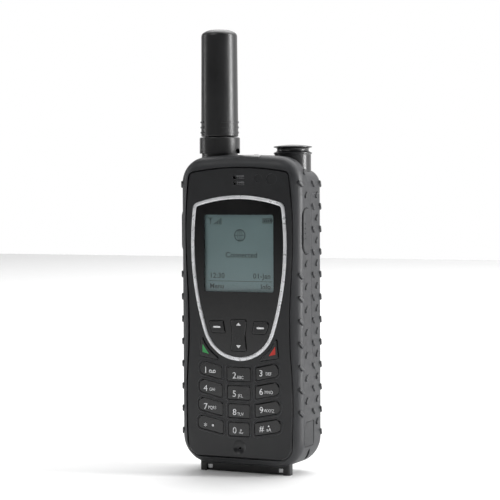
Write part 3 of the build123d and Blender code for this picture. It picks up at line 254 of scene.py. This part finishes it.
materials = {
    "housing_shell": plastic(
        "housing_shell", (0.021, 0.022, 0.0245), (0.09, 0.093, 0.097),
        0.47, 0.00032, 0.00002,
    ),
    "battery_shell": plastic(
        "battery_shell", (0.021, 0.022, 0.0245), (0.09, 0.093, 0.097),
        0.49, 0.00032, 0.00002,
    ),
    "face_plate": plastic(
        "face_plate", (0.0085, 0.009, 0.0105), (0.13, 0.135, 0.14),
        0.36, 0.00022, 0.000006, coat=0.12, coat_roughness=0.3,
    ),
    "bezel": brushed("bezel", (0.92, 0.93, 0.95), 0.3, (500.0, 500.0, 500.0), metallic=0.5),
    "window_black": plastic(
        "window_black", (0.0025, 0.0026, 0.003), (0.03, 0.03, 0.032),
        0.16, 0.0006, 0.000002, coat=0.25, coat_roughness=0.05,
    ),
    "display_glass": clear_window("display_glass"),
    "display_module": display_face("display_module", (0.16, 0.225, 0.23)),
    "key_plastic": plastic(
        "key_plastic", (0.003, 0.0032, 0.0038), (0.08, 0.082, 0.086),
        0.22, 0.0004, 0.000003, coat=0.25, coat_roughness=0.12,
    ),
    "side_rubber": plastic(
        "side_rubber", (0.02, 0.021, 0.023), (0.05, 0.052, 0.055),
        0.58, 0.00025, 0.000015,
    ),
    "emergency_lid": plastic(
        "emergency_lid", (0.012, 0.0125, 0.0135), (0.07, 0.07, 0.075),
        0.3, 0.00025, 0.000006, coat=0.3,
    ),
    "emergency_button": plastic(
        "emergency_button", (0.42, 0.018, 0.012), (0.6, 0.1, 0.08),
        0.4, 0.0003, 0.000008,
    ),
    "keypad_rubber": plastic("keypad_rubber", (0.2, 0.2, 0.2), (0.3, 0.3, 0.3), 0.6, 0.0003, 0.00001),
    "dome_film": plastic("dome_film", (0.5, 0.49, 0.42), (0.6, 0.6, 0.6), 0.4, 0.0003, 0.000006),
    "circuit_board": circuit("circuit_board"),
    "sheet_metal": brushed("sheet_metal", (0.62, 0.62, 0.6), 0.34),
    "contact_block": plastic(
        "contact_block", (0.02, 0.02, 0.022), (0.08, 0.08, 0.08),
        0.45, 0.0003, 0.00001,
    ),
    "gold_contacts": brushed("gold_contacts", (0.86, 0.62, 0.26), 0.28, (900.0, 900.0, 900.0)),
    "inner_cover": plastic(
        "inner_cover", (0.028, 0.029, 0.031), (0.07, 0.07, 0.075),
        0.5, 0.0003, 0.000015,
    ),
    "screw_steel": brushed("screw_steel", (0.56, 0.56, 0.57), 0.3),
    "battery_tray": plastic(
        "battery_tray", (0.025, 0.026, 0.028), (0.07, 0.07, 0.075),
        0.5, 0.0003, 0.000015,
    ),
    "battery_cell": brushed("battery_cell", (0.6, 0.61, 0.62), 0.36),
    "antenna_plastic": plastic(
        "antenna_plastic", (0.0085, 0.0088, 0.0095), (0.05, 0.052, 0.055),
        0.36, 0.00028, 0.000008, coat=0.15, coat_roughness=0.3,
    ),
    "antenna_mast": plastic(
        "antenna_mast", (0.03, 0.03, 0.032), (0.08, 0.08, 0.08),
        0.35, 0.0003, 0.000006,
    ),
    "patch_ceramic": ceramic("patch_ceramic", (0.62, 0.58, 0.48)),
    "connector_black": plastic(
        "connector_black", (0.012, 0.0122, 0.013), (0.06, 0.06, 0.063),
        0.42, 0.0003, 0.000012,
    ),
}
dark_mesh = brushed("dark_mesh", (0.3, 0.3, 0.31), 0.4)
white_ink = printed("white_ink", (0.88, 0.89, 0.9))
green_ink = printed("green_ink", (0.05, 0.36, 0.10))
red_ink = printed("red_ink", (0.55, 0.03, 0.02))
pixel_ink = printed("pixel_ink", (0.01, 0.017, 0.018), 0.6)

for entry in frame["record"]["subparts"]:
    shown = nodes[entry["node"]]
    shown.data.materials.clear()
    shown.data.materials.append(materials[entry["material_slot"]])
nodes["earpiece_mesh"].data.materials[0] = dark_mesh


# ------------------------------------------------------------------ flat marks on a face
FRONT = Matrix(((1, 0, 0, 0), (0, 0, -1, 0), (0, 1, 0, 0), (0, 0, 0, 1)))


def mark(name, outlines, place, material, body, thickness=INK_DEPTH):
    """Thin solid mark from closed outlines in mm, drawn on a plane given by a matrix."""
    mesh = bmesh.new()
    for points in outlines:
        low = [mesh.verts.new((x, y, 0)) for x, y in points]
        high = [mesh.verts.new((x, y, thickness)) for x, y in points]
        mesh.faces.new(high)
        mesh.faces.new(list(reversed(low)))
        for i in range(len(points)):
            j = (i + 1) % len(points)
            mesh.faces.new((low[i], low[j], high[j], high[i]))
    bmesh.ops.recalc_face_normals(mesh, faces=mesh.faces)
    data = bpy.data.meshes.new(name)
    mesh.to_mesh(data)
    mesh.free()
    piece = bpy.data.objects.new(name, data)
    bpy.context.scene.collection.objects.link(piece)
    piece.matrix_world = place @ Matrix.Scale(MM, 4)
    data.materials.append(material)
    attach(piece, body)
    return piece


def lettering(name, text, size, place, material, body, thickness=INK_DEPTH, spacing=1.0, weight=0.0):
    """Raised-ink lettering in mm on a plane given by a matrix, turned into a mesh."""
    curve = bpy.data.curves.new(name, "FONT")
    curve.body = text
    curve.size = size
    curve.align_x = "CENTER"
    curve.align_y = "CENTER"
    curve.space_character = spacing
    curve.extrude = thickness / 2
    curve.offset = weight
    curve.resolution_u = 6
    holder = bpy.data.objects.new(name + "_text", curve)
    bpy.context.scene.collection.objects.link(holder)
    bpy.context.view_layer.update()
    data = bpy.data.meshes.new_from_object(holder.evaluated_get(bpy.context.evaluated_depsgraph_get()))
    bpy.data.objects.remove(holder)
    data.name = name
    piece = bpy.data.objects.new(name, data)
    bpy.context.scene.collection.objects.link(piece)
    piece.matrix_world = place @ Matrix.Translation((0, 0, thickness / 2 * MM)) @ Matrix.Scale(MM, 4)
    data.materials.clear()
    data.materials.append(material)
    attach(piece, body)
    return piece


def on_front(x, y, z):
    """Plane facing the front at a point given in mm."""
    return Matrix.Translation((x * MM, y * MM, z * MM)) @ FRONT


def rectangle(x, y, width, height, turn=0.0):
    """Corners of a rectangle round a centre, turned by degrees."""
    c, s = math.cos(math.radians(turn)), math.sin(math.radians(turn))
    corners = ((-1, -1), (1, -1), (1, 1), (-1, 1))
    half_x, half_y = width / 2, height / 2
    return [(x + c * a * half_x - s * b * half_y, y + s * a * half_x + c * b * half_y) for a, b in corners]


def pill(x, y, width, height, steps=8):
    """Rounded bar round a centre."""
    radius = height / 2
    points = []
    for side in (1, -1):
        for i in range(steps + 1):
            angle = side * math.pi / 2 * -1 + math.pi * i / steps
            end_x = x + side * (width / 2 - radius)
            points.append((end_x + radius * math.cos(angle), y + radius * math.sin(angle)))
    return points


def ring_pieces(x, y, outer, inner, start=0.0, end=360.0, steps=24):
    """Ring or arc as a fan of four-cornered pieces."""
    made = []
    for i in range(steps):
        a = math.radians(start + (end - start) * i / steps)
        b = math.radians(start + (end - start) * (i + 1) / steps)
        made.append(
            [
                (x + inner * math.cos(a), y + inner * math.sin(a)),
                (x + outer * math.cos(a), y + outer * math.sin(a)),
                (x + outer * math.cos(b), y + outer * math.sin(b)),
                (x + inner * math.cos(b), y + inner * math.sin(b)),
            ]
        )
    return made


def middle(node):
    """Centre and front depth of a node in mm."""
    low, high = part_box(node)
    centre = (low + high) / 2 / MM
    return centre.x, low.y / MM, centre.z


# ------------------------------------------------------------------ key legends
legends = {
    "key_1": ("1", None),
    "key_2": ("2", "ABC"),
    "key_3": ("3", "DEF"),
    "key_4": ("4", "GHI"),
    "key_5": ("5", "JKL"),
    "key_6": ("6", "MNO"),
    "key_7": ("7", "PQRS"),
    "key_8": ("8", "TUV"),
    "key_9": ("9", "WXYZ"),
    "key_star": ("*", None),
    "key_0": ("0", "+"),
    "key_hash": ("#", None),
}
# where the digit and the letters sit from the middle of a key, by column
LEGEND_DIGIT = {-1: (-2.5, -0.15), 0: (-2.1, -0.65), 1: (-2.9, -0.6)}
LEGEND_WORD = {-1: (0.75, -0.5), 0: (0.75, -1.35), 1: (0.75, -0.65)}
DIGIT_SIZE = 3.9
WORD_SIZE = 2.0
WORD_NARROWING = 0.82
STAR_DROP = 0.75


def column(x):
    """-1, 0 or 1 for the left, middle and right key columns."""
    return (x > 5) - (x < -5)


def key_mark(name, node, shapes, x, z, ink=white_ink, thickness=INK_DEPTH):
    """Mark in mm round a point given from the middle of a key's face."""
    centre_x, front, centre_z = middle(node)
    place = on_front(centre_x + x, front - INK_LIFT, centre_z + z)
    mark(name, shapes, place, ink, node, thickness)


for node, (digit, letters) in legends.items():
    x, front, z = middle(node)
    shift_x, shift_z = LEGEND_DIGIT[column(x)]
    if digit == "*":
        shift_z -= STAR_DROP
    place = on_front(x + shift_x, front - INK_LIFT, z + shift_z)
    lettering(node + "_digit", digit, DIGIT_SIZE, place, white_ink, node)
    if letters:
        shift_x, shift_z = LEGEND_WORD[column(x)]
        place = on_front(x + shift_x, front - INK_LIFT, z + shift_z)
        narrow = place @ Matrix.Diagonal((WORD_NARROWING, 1, 1, 1))
        lettering(node + "_letters", letters, WORD_SIZE, narrow, white_ink, node, spacing=1.04)
tape = ring_pieces(-0.95, 0, 0.7, 0.4) + ring_pieces(0.95, 0, 0.7, 0.4) + [rectangle(0, -0.58, 1.9, 0.26)]
key_mark("key_1_tape", "key_1", tape, 0.75, -0.5)
key_mark("key_star_dot", "key_star", ring_pieces(0, 0, 0.5, 0.0, steps=16), 1.1, -0.25)
tray = [rectangle(0, -0.95, 1.9, 0.25), rectangle(-0.83, -0.7, 0.25, 0.6), rectangle(0.83, -0.7, 0.25, 0.6)]
plus = [rectangle(0, 0.35, 0.95, 0.24), rectangle(0, 0.35, 0.24, 0.95)]
key_mark("key_0_space", "key_0", tray + plus, 1.0, -0.7)
x, front, z = middle("key_hash")
place = on_front(x + 0.55, front - INK_LIFT, z - 0.85)
lettering("key_hash_letters", "aA", 2.1, place, white_ink, "key_hash")
key_mark("key_hash_shift", "key_hash", [[(-0.5, 0), (0.5, 0), (0, 0.75)]], 0.55, 0.45)
for name, x in (("left", -4.1), ("right", 4.1)):
    key_mark("key_5_nib_" + name, "key_5", [pill(0, 0, 0.9, 0.4)], x, -0.9, materials["key_plastic"], 0.2)

for node, side in (("soft_key_left", -1), ("soft_key_right", 1)):
    key_mark(node + "_dash", node, [pill(0, 0, 3.5, 0.75)], side * 0.1, -0.1)
for name, sign in (("up", 1), ("down", -1)):
    arrow = [(-1.1, -sign * 0.6), (1.1, -sign * 0.6), (0, sign * 0.7)][::sign]
    key_mark("scroll_" + name + "_arrow", "scroll_key", [arrow], 0, sign * 4.9)
for node, ink, side in (("call_key", green_ink, -1), ("end_key", red_ink, 1)):
    wedge = [(side * 1.2, 2.3), (side * 1.2, -1.2), (-side * 1.9, -2.0)][::-side]
    x, front, z = middle(node)
    key_mark(node + "_wedge", node, [wedge], side * 16.4 - x, 54.5 - z, ink)

# ------------------------------------------------------------------ what the display shows
low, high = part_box("display_panel")
panel_y = low.y / MM - INK_LIFT
view_low, view_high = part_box("display_window")
left, right = view_low.x / MM + 1.0, view_high.x / MM - 1.0
top = view_high.z / MM - 0.6
display = on_front(0, panel_y, 0)
GLOBE_Z = 104.8
RULE_Z = 84.7


def pixels(name, shapes):
    mark(name, shapes, display, pixel_ink, "housing", 0.01)


mast = [
    rectangle(left + 1.5, top - 2.0, 0.3, 3.0),
    rectangle(left + 0.95, top - 1.05, 1.5, 0.3, -42),
    rectangle(left + 2.05, top - 1.05, 1.5, 0.3, 42),
]
bars = [rectangle(left + 3.2 + 0.85 * i, top - 3.35 + 0.27 * i, 0.5, 0.55 + 0.55 * i) for i in range(5)]
pixels("display_signal", mast + bars)
cell = [
    rectangle(right - 2.5, top - 1.05, 4.2, 0.28),
    rectangle(right - 2.5, top - 2.95, 4.2, 0.28),
    rectangle(right - 4.6, top - 2.0, 0.28, 2.18),
    rectangle(right - 0.45, top - 2.0, 0.28, 2.18),
    rectangle(right - 0.12, top - 2.0, 0.35, 0.9),
]
cell += [rectangle(right - 3.9 + 0.95 * i, top - 2.0, 0.7, 1.3) for i in range(4)]
pixels("display_battery", cell)
pixels("display_rule", [rectangle(0, RULE_Z, right - left - 0.6, 0.2)])
globe = ring_pieces(0, GLOBE_Z, 2.7, 2.3, steps=36)
globe += [rectangle(0, GLOBE_Z, 5.0, 0.24), rectangle(0, GLOBE_Z, 0.24, 5.0)]
for side in (-1, 1):
    facing = 90 * (1 + side)
    globe += ring_pieces(side * 2.6, GLOBE_Z, 3.85, 3.62, facing - 43, facing + 43, 14)
pixels("display_globe", globe)


def words(name, text, size, x, z):
    place = on_front(x, panel_y, z)
    lettering(name, text, size, place, pixel_ink, "housing", 0.01, 1.05, 0.05)


words("display_status", "Connected", 3.3, 0.7, 96.1)
words("display_time", "12:30", 3.2, left + 4.6, 87.0)
words("display_date", "01-Jan", 3.2, right - 5.2, 87.0)
words("display_label_left", "Menu", 3.0, left + 4.5, 82.4)
words("display_label_right", "Info", 3.0, right - 3.4, 82.4)

# ------------------------------------------------------------------ small fitted details
low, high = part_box("dock_block")
apron_y = low.y / MM + 1.5
ear_x = high.x / MM - 3.2
for name, side in (("left", -1), ("right", 1)):
    shape = [rectangle(side * (ear_x - 1.3), 1.85, 2.3, 1.6)]
    steel = materials["screw_steel"]
    mark("dock_keeper_" + name, shape, on_front(0, apron_y, 0), steel, "housing", 0.35)
low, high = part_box("sos_lid")
mark(
    "sos_lid_catch",
    [pill(0, 0, 2.2, 0.45)],
    Matrix.Translation(((high.x / MM - 1.7) * MM, (low.y / MM + 0.9) * MM, high.z - 0.000002)),
    materials["screw_steel"],
    "sos_lid",
    0.12,
)


# ------------------------------------------------------------------ stage, light and camera
def area(name, location, target, width, height, power):
    light = bpy.data.lights.new(name, "AREA")
    light.shape = "RECTANGLE"
    light.size, light.size_y = width, height
    light.energy = power
    lamp = bpy.data.objects.new(name, light)
    lamp.location = location
    lamp.rotation_euler = (Vector(target) - Vector(location)).to_track_quat("-Z", "Y").to_euler()
    bpy.context.scene.collection.objects.link(lamp)


def sheet(name, corners):
    """Flat four-cornered sheet of the stage."""
    mesh = bpy.data.meshes.new(name)
    mesh.from_pydata(corners, [], [(0, 1, 2, 3)])
    board = bpy.data.objects.new(name, mesh)
    bpy.context.scene.collection.objects.link(board)
    return mesh


FLOOR_HALF = 6
floor_signs = ((-1, -1), (1, -1), (1, 1), (-1, 1))
floor_mesh = sheet("floor", [(x * FLOOR_HALF, y * FLOOR_HALF, 0) for x, y in floor_signs])
ground = Shader("floor_paper")
paper = ground.noise(60.0, 3.0)
paper_tone = ground.mix(ground.remap(paper, 0.3, 0.7, 0.0, 1.0), tone((0.86,) * 3), tone((0.88,) * 3))
floor_mesh.materials.append(ground.surface(color=paper_tone, roughness=0.6, specular=0.2))

BACK_Y = 2.2
backdrop_mesh = sheet("backdrop", [(x, BACK_Y, z) for x, z in ((-4, -0.2), (3, -0.2), (3, 2.4), (-4, 2.4))])
glow = Shader("backdrop_paper")
emission = glow.node("Emission", {"Color": (1, 1, 1, 1), "Strength": 1.0})
glow.tree.links.new(emission.outputs[0], glow.output.inputs["Surface"])
backdrop_mesh.materials.append(glow.material)

world = bpy.data.worlds.new("studio")
world.use_nodes = True
world.node_tree.nodes["Background"].inputs["Color"].default_value = (1, 1, 1, 1)
world.node_tree.nodes["Background"].inputs["Strength"].default_value = 0.08
bpy.context.scene.world = world
bpy.context.scene.view_settings.view_transform = "Standard"

area("floor_wash", (0.1, 0.9, 1.7), (0, 0.4, 0), 2.6, 1.8, 46)
area("front_fill", (-0.5, -1.3, 1.5), (0, 0, 0.1), 0.9, 0.7, 9)
area("side_strip", (0.9, 0.25, 0.28), (0, 0, 0.12), 0.14, 0.9, 14)
area("left_strip", (-0.9, -0.15, 0.35), (0, 0, 0.12), 0.1, 0.8, 1.6)

CAMERA_PLACE = (0.3362, -0.7120, 0.12557)
CAMERA_LENS = 128.03
yaw, pitch, roll = math.radians(25.316), math.radians(2.0055), math.radians(-0.2835)
forward = Vector((-math.sin(yaw) * math.cos(pitch), math.cos(yaw) * math.cos(pitch), -math.sin(pitch)))
across = Vector((math.cos(yaw), math.sin(yaw), 0))
upward = across.cross(forward)
right_dir = across * math.cos(roll) + upward * math.sin(roll)
up_dir = upward * math.cos(roll) - across * math.sin(roll)
lens = bpy.data.cameras.new("camera")
lens.sensor_width = 36
lens.lens = CAMERA_LENS
lens.clip_start = 0.01
camera = bpy.data.objects.new("camera", lens)
turn = Matrix((right_dir, up_dir, -forward)).transposed().to_4x4()
camera.matrix_world = Matrix.Translation(CAMERA_PLACE) @ turn
bpy.context.scene.collection.objects.link(camera)
bpy.context.scene.camera = camera
